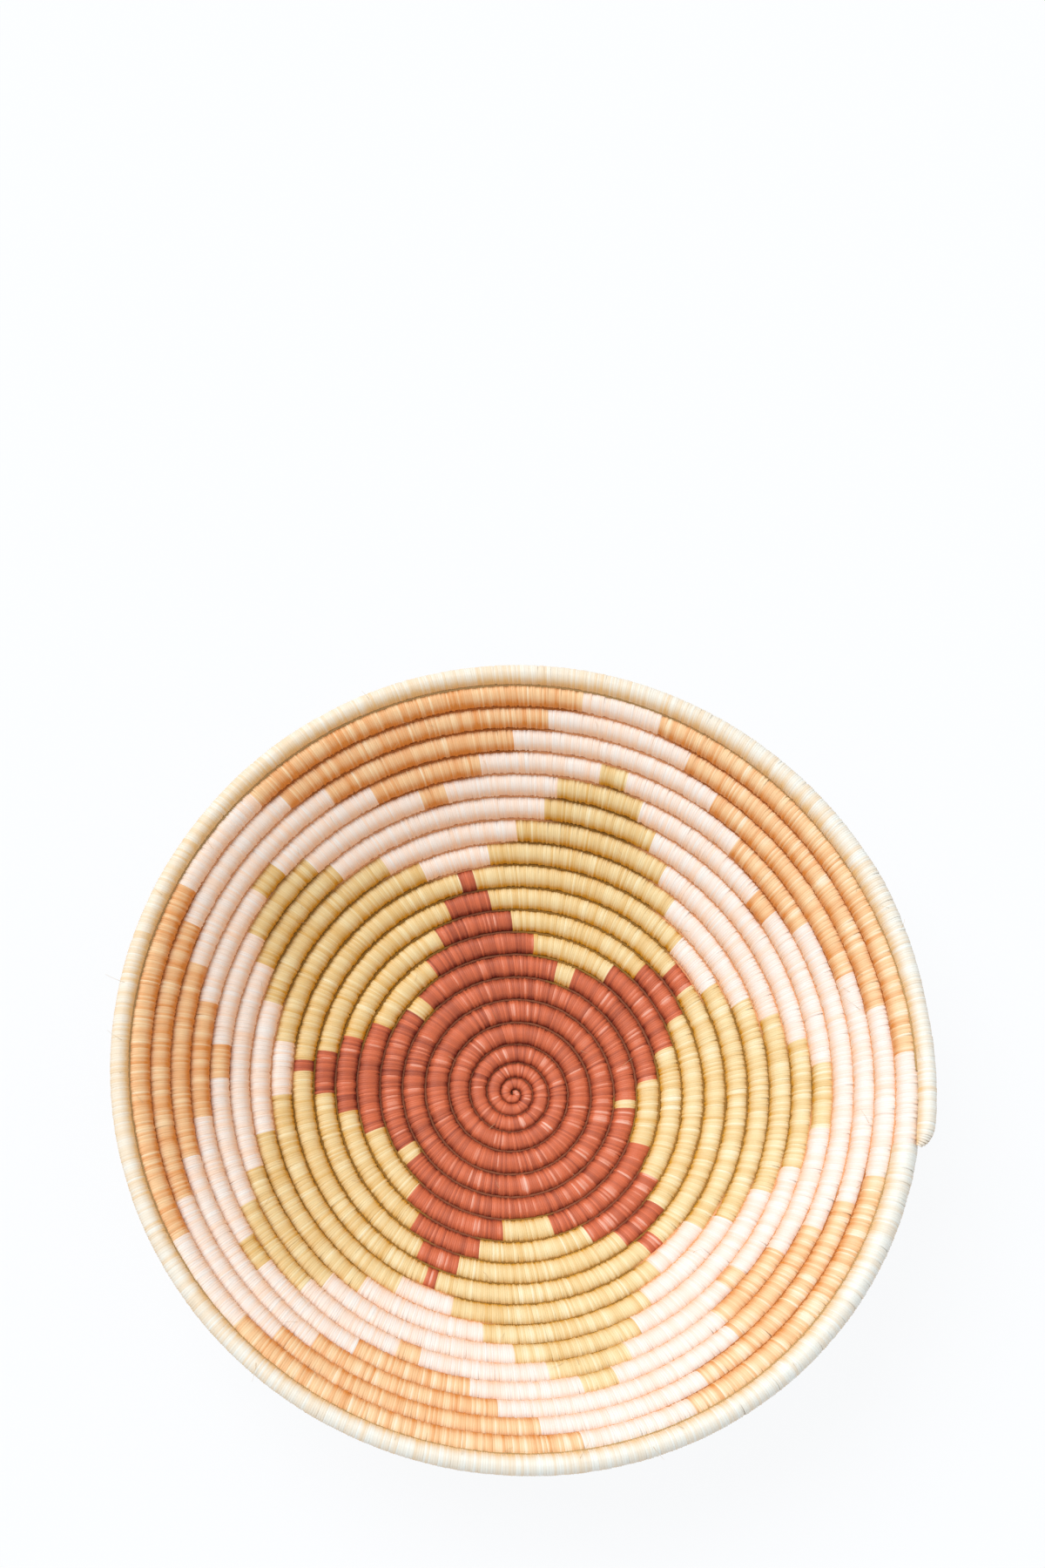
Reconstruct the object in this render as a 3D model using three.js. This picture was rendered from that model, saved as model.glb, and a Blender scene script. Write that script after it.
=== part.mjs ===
// An open coiled bowl. A bundle of dry grass winds in one unbroken spiral from the middle of the base
// to the rim. Strands of sisal wrap the bundle all along and hold each round against the one before it.
// Millimetres, +Z up. The origin is on the bowl's axis, on the surface that the bowl stands on.
import * as THREE from 'three';

// The bowl's profile, on which the coil's sections stand
const BASE_RADIUS = 26;             // level part of the base
const BEND_RADIUS = 117;            // curve from the base into the wall
const WALL_SLOPE = 41;              // straight upper wall, degrees above level

// The grass bundle, which swells from a thin start and is thinned again at its tail
const BUNDLE_DIAMETER = 6.15;
const START_BUNDLE_DIAMETER = 0.8;
const TAIL_BUNDLE_DIAMETER = 2.4;
const SWELL_TURNS = 4;              // turns in which the bundle reaches its full thickness

// The wrapping
const WRAP_WALL = 0.8;              // thickness of the strands round the bundle
const END_WALL = 0.8;               // thickness of the strands over the two ends of the bundle
const BUNDLE_CLEARANCE = 0.35;      // between the bundle and its wrapping
const ROW_GAP = 0.5;                // between neighbouring rows
const BUTT_GAP = 0.3;               // between one round's wrapping and the next one's, along the coil

// The spiral, which runs clockwise from the middle as seen from above
const START_EYE = 0.3;              // bowl's axis to the inside of the coil's start
const ROUNDS = 20;                  // wrapped rounds, of which the last is the rim
const TAIL_AZIMUTH = -13;           // where the coil ends, degrees from +X

// Facets: all rounds have their corners at the same azimuths, so that the rows stay evenly apart
const TURN_STEPS = 20;              // steps in a turn
const FIRST_ROUND_STEPS = 17;       // steps of the first round, which is not a whole turn
const TAIL_STEPS = 1;               // steps of the rim that belong to the thinned tail

// The main dye of the rounds, from the middle outwards
const DYES = [
  { lastRound: 8, colour: 0xc9603f },
  { lastRound: 12, colour: 0xd4b566 },
  { lastRound: 16, colour: 0xeed9d2 },
  { lastRound: Infinity, colour: 0xe3a468 },
];
const RIM_COLOUR = 0xefe8d0;
const GRASS_COLOUR = 0xb59b66;
const ROUGHNESS = 0.8;

const FULL_TURN = 2 * Math.PI;
const FIRST_ROUND = FIRST_ROUND_STEPS / TURN_STEPS;
const TURNS = ROUNDS - 1 + FIRST_ROUND;
const TAIL_TURNS = TAIL_STEPS / TURN_STEPS;

// A hexagon with flats on the bowl's inner and outer side, corners towards the neighbouring rows, and
// the area of the circle that it stands for. Each point is along the profile, then square to it.
const FLAT_SHARE = Math.PI / 2 - 1;
const SECTION = [
  [1, 0],
  [FLAT_SHARE, -1],
  [-FLAT_SHARE, -1],
  [-1, 0],
  [-FLAT_SHARE, 1],
  [FLAT_SHARE, 1],
];
const SIDES = SECTION.length;

// Half the coil's thickness, before the tail is thinned
function bodyRadiusAt(turn) {
  const swell = Math.min(turn / SWELL_TURNS, 1);
  const bundleDiameter = THREE.MathUtils.lerp(START_BUNDLE_DIAMETER, BUNDLE_DIAMETER, swell);
  return bundleDiameter / 2 + BUNDLE_CLEARANCE + WRAP_WALL;
}

// Half the bundle's thickness, thinned towards the blunt tip of the tail
function bundleRadiusAt(turn) {
  const fullRadius = bodyRadiusAt(turn) - WRAP_WALL - BUNDLE_CLEARANCE;
  const along = Math.max((turn - (TURNS - TAIL_TURNS)) / TAIL_TURNS, 0);
  return THREE.MathUtils.lerp(fullRadius, TAIL_BUNDLE_DIAMETER / 2, along ** 2);
}

function channelRadiusAt(turn) {
  return bundleRadiusAt(turn) + BUNDLE_CLEARANCE;
}

function coilRadiusAt(turn) {
  return channelRadiusAt(turn) + WRAP_WALL;
}

// Row to row along the profile
function pitchAt(turn) {
  return 2 * bodyRadiusAt(turn) + ROW_GAP;
}

// Distance along the profile from the axis to the middle of the coil
function profileLengthAt(turn) {
  const startLength = START_EYE + bodyRadiusAt(0);
  const swelling = Math.min(turn, SWELL_TURNS);
  const swellingLength = (pitchAt(0) + pitchAt(swelling)) / 2 * swelling;
  return startLength + swellingLength + pitchAt(SWELL_TURNS) * (turn - swelling);
}

// Point and slope of the profile: level base, round bend, straight wall
function profileAt(length) {
  const wallSlope = THREE.MathUtils.degToRad(WALL_SLOPE);
  const slope = THREE.MathUtils.clamp((length - BASE_RADIUS) / BEND_RADIUS, 0, wallSlope);
  const level = Math.min(length, BASE_RADIUS);
  const straight = Math.max(length - BASE_RADIUS - BEND_RADIUS * wallSlope, 0);
  const radius = level + BEND_RADIUS * Math.sin(slope) + straight * Math.cos(slope);
  const height = BEND_RADIUS * (1 - Math.cos(slope)) + straight * Math.sin(slope);
  return { radius, height, slope };
}

// Middle of the coil at a turn. The section's lowest corner stands on the profile, so the base is level
// at height 0. The thinned tail stays against the row inside it.
function coilFrameAt(turn) {
  const drawnIn = bodyRadiusAt(turn) - coilRadiusAt(turn);
  const { radius, height, slope } = profileAt(profileLengthAt(turn) - drawnIn);
  const azimuth = THREE.MathUtils.degToRad(TAIL_AZIMUTH) + (TURNS - turn) * FULL_TURN;
  const foot = bodyRadiusAt(turn) * (Math.cos(slope) + FLAT_SHARE * Math.sin(slope));
  return { radius, height: height + foot, slope, azimuth };
}

// Corners of the coil's section at a turn
function sectionRing(turn, sectionRadius) {
  const { radius, height, slope, azimuth } = coilFrameAt(turn);
  return SECTION.map(([along, across]) => {
    const outward = radius + sectionRadius * (along * Math.cos(slope) - across * Math.sin(slope));
    const upward = height + sectionRadius * (along * Math.sin(slope) + across * Math.cos(slope));
    return new THREE.Vector3(outward * Math.cos(azimuth), outward * Math.sin(azimuth), upward);
  });
}

// Share of a turn that covers a given length of the coil
function turnsFor(length, turn) {
  return length / (FULL_TURN * coilFrameAt(turn).radius);
}

function evenSteps(from, to, count) {
  return Array.from({ length: count + 1 }, (_, i) => from + (to - from) * i / count);
}

// Turns at which a round has its sections. The rounds all start and end at the tail's azimuth.
function roundTurns(round) {
  const end = round - 1 + FIRST_ROUND;
  if (round === 1) {
    return evenSteps(0, end, FIRST_ROUND_STEPS);
  }
  return evenSteps(end - 1, end, TURN_STEPS);
}

// Draws the ends of a run of turns in by a length, or leaves an end as it is where the length is 0
function trimTurns(turns, startLength, endLength) {
  const first = turns[0];
  const last = turns[turns.length - 1];
  const start = first + turnsFor(startLength, first);
  const end = last - turnsFor(endLength, last);
  return [start, ...turns.filter((turn) => turn > start && turn < end), end];
}

// Collects rings of corners and the faces between them into one closed mesh
class ClosedMesh {
  positions = [];
  faces = [];

  addRing(points) {
    const first = this.positions.length / 3;
    points.forEach((point) => this.positions.push(point.x, point.y, point.z));
    return first;
  }

  addBand(ringA, ringB) {
    for (let side = 0; side < SIDES; side += 1) {
      const next = (side + 1) % SIDES;
      this.faces.push(ringA + side, ringB + side, ringB + next);
      this.faces.push(ringA + side, ringB + next, ringA + next);
    }
  }

  addCap(ring, facesForward) {
    for (let side = 1; side < SIDES - 1; side += 1) {
      const edge = facesForward ? [ring + side + 1, ring + side] : [ring + side, ring + side + 1];
      this.faces.push(ring, ...edge);
    }
  }

  toGeometry() {
    const geometry = new THREE.BufferGeometry();
    geometry.setAttribute('position', new THREE.Float32BufferAttribute(this.positions, 3));
    geometry.setIndex(this.faces);
    geometry.computeVertexNormals();
    return geometry;
  }
}

function addRings(mesh, turns, radiusAt) {
  return turns.map((turn) => mesh.addRing(sectionRing(turn, radiusAt(turn))));
}

// A solid length of coil
function solidCoil(turns, radiusAt) {
  const mesh = new ClosedMesh();
  const rings = addRings(mesh, turns, radiusAt);
  rings.slice(1).forEach((ring, i) => mesh.addBand(rings[i], ring));
  mesh.addCap(rings[0], false);
  mesh.addCap(rings[rings.length - 1], true);
  return mesh.toGeometry();
}

// A length of wrapping with the bundle's channel through it. A closed end has a wall over the channel.
function wrapping(turns, closedStart, closedEnd) {
  const mesh = new ClosedMesh();
  const outerTurns = trimTurns(turns, closedStart ? 0 : BUTT_GAP / 2, closedEnd ? 0 : BUTT_GAP / 2);
  const channelTurns = trimTurns(outerTurns, closedStart ? END_WALL : 0, closedEnd ? END_WALL : 0);
  const outer = addRings(mesh, outerTurns, coilRadiusAt);
  const channel = addRings(mesh, channelTurns, channelRadiusAt);
  outer.slice(1).forEach((ring, i) => mesh.addBand(outer[i], ring));
  channel.slice(1).forEach((ring, i) => mesh.addBand(ring, channel[i]));
  if (closedStart) {
    mesh.addCap(outer[0], false);
    mesh.addCap(channel[0], true);
  } else {
    mesh.addBand(channel[0], outer[0]);
  }
  if (closedEnd) {
    mesh.addCap(outer[outer.length - 1], true);
    mesh.addCap(channel[channel.length - 1], false);
  } else {
    mesh.addBand(outer[outer.length - 1], channel[channel.length - 1]);
  }
  return mesh.toGeometry();
}

// Points of the coil's surface: its sections' corners, and the middles of the edges between sections
function surfaceRings(turns, radiusAt) {
  const corners = turns.map((turn) => ({ turn, points: sectionRing(turn, radiusAt(turn)) }));
  const middles = corners.slice(1).map((next, i) => ({
    turn: (corners[i].turn + next.turn) / 2,
    points: next.points.map((point, side) => corners[i].points[side].clone().lerp(point, 0.5)),
  }));
  return [...corners, ...middles];
}

// Least distance between surface points of the coil and of the row outside it
function leastGap(turns, radiusAt) {
  const rings = surfaceRings(turns, radiusAt);
  let least = Infinity;
  rings.forEach((ring) => {
    const nextRow = rings.filter((other) => Math.abs(other.turn - ring.turn - 1) < 0.5);
    const nextPoints = nextRow.flatMap((other) => other.points);
    ring.points.forEach((point) => nextPoints.forEach((other) => {
      least = Math.min(least, point.distanceTo(other));
    }));
  });
  return least;
}

function dyeOf(round) {
  return DYES.find((dye) => round <= dye.lastRound).colour;
}

function addPiece(group, name, geometry, colour) {
  const material = new THREE.MeshStandardMaterial({ color: colour, roughness: ROUGHNESS, metalness: 0 });
  const piece = new THREE.Mesh(geometry, material);
  piece.name = name;
  group.add(piece);
}

const basket = new THREE.Group();
basket.name = 'coiled_bowl';

// The grass bundle, unbroken from the middle of the base to the tail
const rounds = Array.from({ length: ROUNDS }, (_, i) => i + 1);
const allTurns = [0, ...rounds.flatMap((round) => roundTurns(round).slice(1))];
const bundleEnd = END_WALL + BUNDLE_CLEARANCE;
const bundleTurns = trimTurns(allTurns, bundleEnd, bundleEnd);
addPiece(basket, 'grass_bundle', solidCoil(bundleTurns, bundleRadiusAt), GRASS_COLOUR);

// The wrapping of each round below the rim, numbered from the middle
rounds.slice(0, -1).forEach((round) => {
  const name = `wrap_round_${String(round).padStart(2, '0')}`;
  addPiece(basket, name, wrapping(roundTurns(round), round === 1, false), dyeOf(round));
});

// The undyed rim, and the tail where it narrows to a blunt tip against the round below
const rimTurns = roundTurns(ROUNDS);
const tailStart = rimTurns.length - 1 - TAIL_STEPS;
addPiece(basket, 'rim_wrap', wrapping(rimTurns.slice(0, tailStart + 1), false, false), RIM_COLOUR);
addPiece(basket, 'tail_wrap', wrapping(rimTurns.slice(tailStart), false, true), RIM_COLOUR);

console.log(`least gap between rows of wrapping: ${leastGap(allTurns, coilRadiusAt).toFixed(3)} mm`);
console.log(`least gap of the grass bundle to itself: ${leastGap(bundleTurns, bundleRadiusAt).toFixed(3)} mm`);

export default basket;
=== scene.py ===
"""Looks of a coiled basket: dyed sisal strands wound on a spiral of dry grass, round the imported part."""

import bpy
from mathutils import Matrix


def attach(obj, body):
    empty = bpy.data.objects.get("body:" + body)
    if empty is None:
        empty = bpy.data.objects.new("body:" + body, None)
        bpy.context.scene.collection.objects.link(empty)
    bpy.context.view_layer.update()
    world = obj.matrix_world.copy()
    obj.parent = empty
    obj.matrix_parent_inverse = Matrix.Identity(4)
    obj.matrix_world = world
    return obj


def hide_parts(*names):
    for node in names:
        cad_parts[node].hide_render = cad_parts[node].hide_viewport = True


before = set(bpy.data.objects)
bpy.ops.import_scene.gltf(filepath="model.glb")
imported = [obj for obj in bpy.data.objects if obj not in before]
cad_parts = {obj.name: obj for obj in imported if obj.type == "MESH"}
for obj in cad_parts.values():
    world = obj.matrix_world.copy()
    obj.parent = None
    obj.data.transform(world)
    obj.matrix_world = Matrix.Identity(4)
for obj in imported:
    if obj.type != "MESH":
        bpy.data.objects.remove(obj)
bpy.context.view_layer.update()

import math
from functools import partialmethod

import bpy
import numpy as np
from bpy.props import EnumProperty, FloatProperty, FloatVectorProperty, IntProperty, PointerProperty

bl_info = {
    "name": "Coiled Sisal Basket",
    "version": (1, 0, 0),
    "blender": (4, 5, 0),
    "location": "View3D > Sidebar > Basket",
    "description": "Winds dyed sisal strands round the coil of a packed basket",
    "category": "Object",
}

MM = 0.001
FULL_TURN = 2 * math.pi
BODY = "root"

# Attributes of the places and strands
PLACE_TANGENT = "strand_tangent"
PLACE_NORMAL = "strand_normal"
PLACE_RADIUS = "strand_radius"
STRAND_NUMBER = "strand_number"
STRAND_SHADE = "strand_shade"
STRAND_DRAW = "strand_draw"
STRAND_FACING = "strand_facing"
STRAND_SHEET = "strand_sheet"
STRAND_TILT = "strand_tilt"
STRAND_NOTCH = "strand_notch"
STITCH_TINT = "stitch_tint"
BAKE_MAP = "OFBake"


def linear(red, green, blue):
    """Scene-linear colour of a screen colour that is given in 0 to 255."""
    shares = [channel / 255 for channel in (red, green, blue)]
    return tuple(s / 12.92 if s <= 0.04045 else ((s + 0.055) / 1.055) ** 2.4 for s in shares)


def a_number(name, description, value, **kind):
    return FloatProperty(name=name, description=description, default=value, **kind)


def a_share(name, description, share):
    return a_number(name, description, share, subtype="FACTOR")


def a_length(name, description, millimetres):
    return a_number(
        name, description, millimetres * MM, min=0, precision=5, subtype="DISTANCE", unit="LENGTH")


def an_angle(name, description, degrees):
    return a_number(name, description, math.radians(degrees), subtype="ANGLE", unit="ROTATION")


def a_count(name, description, count):
    return IntProperty(name=name, description=description, default=count)


def a_row(name, description, *values, **kind):
    """Numbers in a row, such as one for each arm of the star."""
    return FloatVectorProperty(
        name=name, description=description, size=len(values), default=values, **kind)


def arm_lengths(name, description, *millimetres):
    """One length for each arm of the star."""
    lengths = [length * MM for length in millimetres]
    return a_row(name, description, *lengths, precision=5, unit="LENGTH")


def a_colour(name, description, red, green, blue):
    return a_row(name, description, *linear(red, green, blue), min=0, max=1, subtype="COLOR")


class BASKET_PG_coil(bpy.types.PropertyGroup):
    """Sizes of the coil, the same as in the part's source."""

    base_radius: a_length("Base radius", "Level part of the base", 26)
    bend_radius: a_length("Bend radius", "Curve from the base into the wall", 117)
    wall_slope: an_angle("Wall slope", "Straight upper wall above level", 41)
    bundle_diameter: a_length("Bundle", "Full thickness of the grass bundle", 6.15)
    start_diameter: a_length("Bundle at the start", "Thickness in the middle of the base", 0.8)
    swell_turns: a_number("Swelling", "Turns to the full thickness", 4)
    wrap_wall: a_length("Wrap", "Thickness of the wrapping", 0.8)
    bundle_clearance: a_length("Slack", "Between the bundle and its wrapping", 0.35)
    row_gap: a_length("Row gap", "Between neighbouring rows", 0.5)
    start_eye: a_length("Eye", "Bowl's axis to the coil's start", 0.3)
    curl_turns: a_share("Curl", "Turns of the thin curl in the eye", 0.5)
    rounds: a_count("Rounds", "Wrapped rounds with the rim", 20)
    first_round: a_share("First round", "Turns in the first round", 0.85)
    tail_azimuth: an_angle("Tail azimuth", "Where the coil ends, from +X", -13)


class BASKET_PG_hand(bpy.types.PropertyGroup):
    """How the hand-made coil strays from the even one. None of it is in the part's source."""

    wall_bulge: a_length("Wall bulge", "How far the middle of the wall bows outwards", 1.25)
    bulge_lean: a_length("Bulge lean", "How much more it bows on its fuller side", 0.95)
    bulge_azimuth: an_angle("Bulge azimuth", "Where the fuller side is", 270)
    lower_creep: a_length("Lower creep", "How far the lower rows lie nearer the base", 0.6)
    upper_creep: a_length("Upper creep", "How far the upper rows lie nearer the rim", 0.75)
    creep_oval: a_share("Creep oval", "How much more they do so along one way", 0.55)
    creep_azimuth: an_angle("Creep azimuth", "Which way that is", 96)
    base_drift: a_row(
        "Base drift", "How far the base lies off the rim's middle", 0.35 * MM, -0.9 * MM, 0.0,
        precision=5, subtype="XYZ", unit="LENGTH")
    oval: a_length("Oval", "Half of the rim's ovalness", 1.05)
    oval_azimuth: an_angle("Oval azimuth", "Long way of the oval", -55)
    trefoil: a_length("Trefoil", "Height of three slow waves round the rim", 0.7)
    trefoil_azimuth: an_angle("Trefoil azimuth", "Where the first wave is", -38)
    rim_share: a_share("Rim", "Rim's thickness in shares of a full round", 0.8)
    rim_play: a_share("Rim play", "How far the rim's thickness wanders", 0.13)
    rim_azimuth: an_angle("Rim azimuth", "Where the rim is thickest", 10)
    tail_turns: a_share("Tail", "Turns in which the rim thins to its tail", 0.11)
    tail_thinning: a_share("Tail thinning", "Share of its thickness lost there", 0.27)
    tail_blunting: a_share("Tail blunting", "Turns in which the tail rounds off", 0.0095)


class BASKET_PG_star(bpy.types.PropertyGroup):
    """The stepped star that the dyes make. Each arm has its own listed steps."""

    arm_azimuths: a_row(
        "Arms", "Azimuth of each arm in round 10, degrees", 33.6, 104.3, 176.8, 246.5, 312.0)
    arm_leans: a_row("Leans", "Degrees by which each arm moves on in a round", 0.14, 0.57, 0.51, 0.56, 0.73)
    rust_turns: a_number("Rust turns", "Turns that are all rust", 5.828)
    rust_tips: a_row("Rust tips", "Round in which each rust point ends", 10.35, 11.0, 11.0, 11.0, 11.0)
    rust_tip_half: a_length("Rust tip", "Half width of a rust point's last block", 2.2)
    rust_steps: arm_lengths("Rust steps", "Half width lost in a round", 7.1, 6.35, 6.2, 5.5, 7.2)
    blush_halves: arm_lengths("Blush starts", "Half width of the first block", 10.9, 13.3, 10.4, 10.3, 10.9)
    blush_steps: arm_lengths("Blush steps", "Half width gained in a round", 12.4, 13.9, 14.5, 13.2, 11.9)
    blush_turns: a_number("Blush closed", "Turns after which no mustard is left", 15.7)
    peach_first: a_count("Peach from", "Round of the first peach block", 15)
    peach_halves: arm_lengths("Peach starts", "Half width of the first block", 5.3, 4.9, 6.4, 4.3, 3.4)
    peach_steps: arm_lengths("Peach steps", "Half width gained in a round", 18.6, 16.4, 15.0, 15.1, 12.6)


class BASKET_PG_strand(bpy.types.PropertyGroup):
    """Sizes of the sisal strands and the unevenness of hand work."""

    spacing: a_length("Spacing", "Strand to strand along the coil's outer side", 0.86)
    width: a_length("Width", "Width of a strand, which laps over its neighbours", 1.17)
    ridge: a_share("Ridge", "Height of the ridge in shares of the radius", 0.085)
    pressing: a_number("Pressing", "2 is round, more is pressed flat", 2.42)
    base_pressing: a_number("Base pressing", "The same for the loosely wound base", 2.25)
    stitch_strands: a_number("Stitch", "Strands from notch to notch, on average", 2.3)
    rim_stitch_strands: a_number("Rim stitch", "The same for the rim, which no row is stitched to", 60)
    stitch_reach: a_share("Stitch reach", "How far other strands cross the groove", 0.07)
    steps: a_count("Steps", "Facets of a strand round the coil", 14)
    stitch_radius: a_share("Stitch radius", "Stitch line in shares of the radius", 0.14)
    stitch_lift: a_share("Stitch lift", "How high the stitch line lies, shares of the radius", 0.37)
    wall_drop: a_share("Wall drop", "How much lower it lies on the upper wall", 0.05)
    knot: a_length("Knot", "Radius of the knot that fills the eye", 2.3)
    slant: an_angle("Slant", "Lean of the strands from square to the coil", 6)
    slant_play: an_angle("Slant play", "How far single strands lean apart", 1.8)
    lift_play: a_share("Lift play", "How far single strands stand proud", 0.022)
    width_play: a_share("Width play", "How far the strands differ in width", 0.16)
    lump_play: a_share("Lumps", "How far the coil's thickness wanders", 0.03)
    lump_size: a_length("Lump size", "Length over which the thickness wanders", 22)
    seed: a_count("Seed", "Start of the random draws", 11)
    map_columns: a_count("Map columns", "Strands side by side on the map", 256)


class BASKET_PG_fibres(bpy.types.PropertyGroup):
    """Loose fibre ends that stand off the strands."""

    count: a_count("Fibres", "Loose fibres over the rows", 64)
    rim_count: a_count("Rim fibres", "Loose fibres on the rim", 24)
    shortest: a_length("Shortest", "Length of the shortest fibre", 3)
    longest: a_length("Longest", "Length of the longest fibre", 9)
    radius: a_length("Radius", "Half thickness of a fibre at its root", 0.07)
    rise: a_length("Rise", "How far a fibre's middle lifts off the strands", 0.8)
    seed: a_count("Seed", "Start of the random draws", 5)


class BASKET_PG_painted_light_and_colours(bpy.types.PropertyGroup):
    """Painted highlight on the dyed strands, and the colours of what isn't dyed."""

    # Painted highlight: a row's upward-facing side is made paler, where light from above falls on it
    painted_lit_start: a_share("Rub start", "Cosine at which the rubbed side of a row begins", 0.3)
    # Painted highlight: on the rim it starts so low that the shaded outer side is made pale as well
    rim_painted_lit_start: a_share("Rim rub start", "The same for the rim, which is rubbed all over", -0.1)
    # Painted highlight: the dyes are made paler towards the side of the bowl that the window light falls on
    painted_sidelight: a_share("Sidelight", "How much paler the dyes are on the side that faded more", 0.24)
    painted_sidelight_azimuth: an_angle("Fading azimuth", "Where the faded side is", 325)
    grass: a_colour("Grass", "Dry grass of the bundle", 205, 168, 112)
    fibre: a_colour("Fibre", "Loose fibre ends", 242, 212, 168)


class BASKET_PG_stage(bpy.types.PropertyGroup):
    """Camera, floor and light."""

    camera_place: a_row(
        "Camera", "Place of the camera", -0.0406, -0.1831, 0.8308,
        precision=4, subtype="XYZ", unit="LENGTH")
    camera_turn: a_row(
        "Camera turn", "Turn of the camera from straight down",
        math.radians(20.49), math.radians(-3.07), 0.0, subtype="EULER", unit="ROTATION")
    lens: a_number("Lens", "Focal length in millimetres", 50)
    floor_size: a_length("Floor", "Side of the floor", 12000)
    floor_colour: a_colour("Floor colour", "Pale floor", 236, 244, 255)
    floor_white: a_colour("Floor white", "White that the camera sees", 253, 254, 255)
    floor_glow: a_share("Floor glow", "Share of that white, which thins the shadow", 0.92)
    sky: a_number("Sky", "Strength of the light from all round", 0.65)
    key: a_number("Key", "Strength of the window light", 1.83)
    key_azimuth: an_angle("Key azimuth", "Where the window light comes from", 138)
    key_height: an_angle("Key height", "Window light above the floor", 55)
    key_spread: an_angle("Key spread", "Angle over which the window light is spread", 40)


# Each dye: pale tone, deep tone and groove tone of painted shade, then its streaks and the lean of its
# painted highlight
DYE_TONES = {
    "rust": ((216, 110, 69), (136, 54, 32), (164, 100, 74), 2.7, 0.6),
    "mustard": ((243, 222, 172), (217, 160, 48), (172, 130, 66), 2.1, 0.62),
    "blush": ((246, 238, 231), (251, 216, 187), (238, 174, 126), 2.5, 0.78),
    "peach": ((248, 212, 164), (230, 155, 85), (188, 118, 64), 3.0, 0.86),
    "natural": ((243, 240, 229), (238, 203, 154), (196, 162, 112), 2.2, 1.45),
}
DYES = tuple(DYE_TONES)


def dye_group(dye, pale, deep, groove, streaks, lean):
    """The properties of one dye."""
    properties = {
        # The pale tone is reached by the painted highlight on a row's lit side and by the palest streaks
        "pale": a_colour("Pale", f"Lit {dye} strands", *pale),
        "deep": a_colour("Deep", f"{dye.title()} strands of the fullest tone", *deep),
        "groove": a_colour("Groove", f"Shaded ends of {dye} strands between the rows", *groove),
        "streaks": a_share("Streaks", f"How far {dye} strands differ in tone", streaks),
        # Lean tilts the painted highlight from square to the wall towards straight up
        "lean": a_share("Lean", "Lit side: 0 square to the wall, 1 straight up", lean),
    }
    return type("BASKET_PG_" + dye, (bpy.types.PropertyGroup,), {"__annotations__": properties})


GROUPS = {
    "basket_coil": BASKET_PG_coil,
    "basket_hand": BASKET_PG_hand,
    "basket_star": BASKET_PG_star,
    "basket_strand": BASKET_PG_strand,
    "basket_fibres": BASKET_PG_fibres,
    "basket_wear": BASKET_PG_painted_light_and_colours,
    "basket_stage": BASKET_PG_stage,
}
GROUPS.update({"basket_" + dye: dye_group(dye, *tones) for dye, tones in DYE_TONES.items()})


def round_nodes(first, last):
    """CAD nodes of the wrapping of these rounds."""
    return [f"wrap_round_{number:02d}" for number in range(first, last + 1)]


# Each wrapping: its dye, first and last round, and the CAD nodes that it stands for
WRAPS = {
    "rust_wrap": ("rust", 1, 12, round_nodes(1, 8)),
    "mustard_wrap_inner": ("mustard", 1, 12, round_nodes(9, 10)),
    "mustard_wrap_outer": ("mustard", 13, 19, round_nodes(11, 12)),
    "blush_wrap_inner": ("blush", 1, 16, round_nodes(13, 14)),
    "blush_wrap_outer": ("blush", 17, 19, round_nodes(15, 16)),
    "peach_wrap": ("peach", 1, 19, round_nodes(17, 19)),
    "rim_binding": ("natural", 20, 20, ["rim_wrap", "tail_wrap"]),
}
RIM_DYE = "natural"
LOOSE_DYES = ("rust", "mustard")
# Share of the groove's tone between loose rows
LOOSE_DEPTH = 0.85
# Round for which the star's azimuths are given
ARM_ROUND = 10
# Blocks that end early (minus) or late: turn and millimetres
STRAYED_ENDS = (
    (9.94, 2.5), (9.95, 4.5), (10.317, 2.0), (10.326, 2.0), (10.518, 2.0), (10.527, 3.0), (11.90, 4.5),
    (13.46, -4.5), (13.79, 3.5), (14.19, -5.0), (14.39, -4.0), (14.59, -5.0), (14.80, 5.0), (14.85, -5.5),
    (15.09, -4.0), (15.75, -7.0), (15.97, -9.5), (18.43, 6.0), (18.81, 5.0),
)


def passed(turn, start, length):
    """Share of a stretch of the coil that lies behind each turn. A minus length runs inwards."""
    return np.clip((turn - start) / length, 0, 1)


def column(values):
    return values[:, None]


def run_along(points):
    """Distance from the first point to each one."""
    return np.concatenate([[0], np.cumsum(np.linalg.norm(np.diff(points, axis=0), axis=1))])


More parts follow.
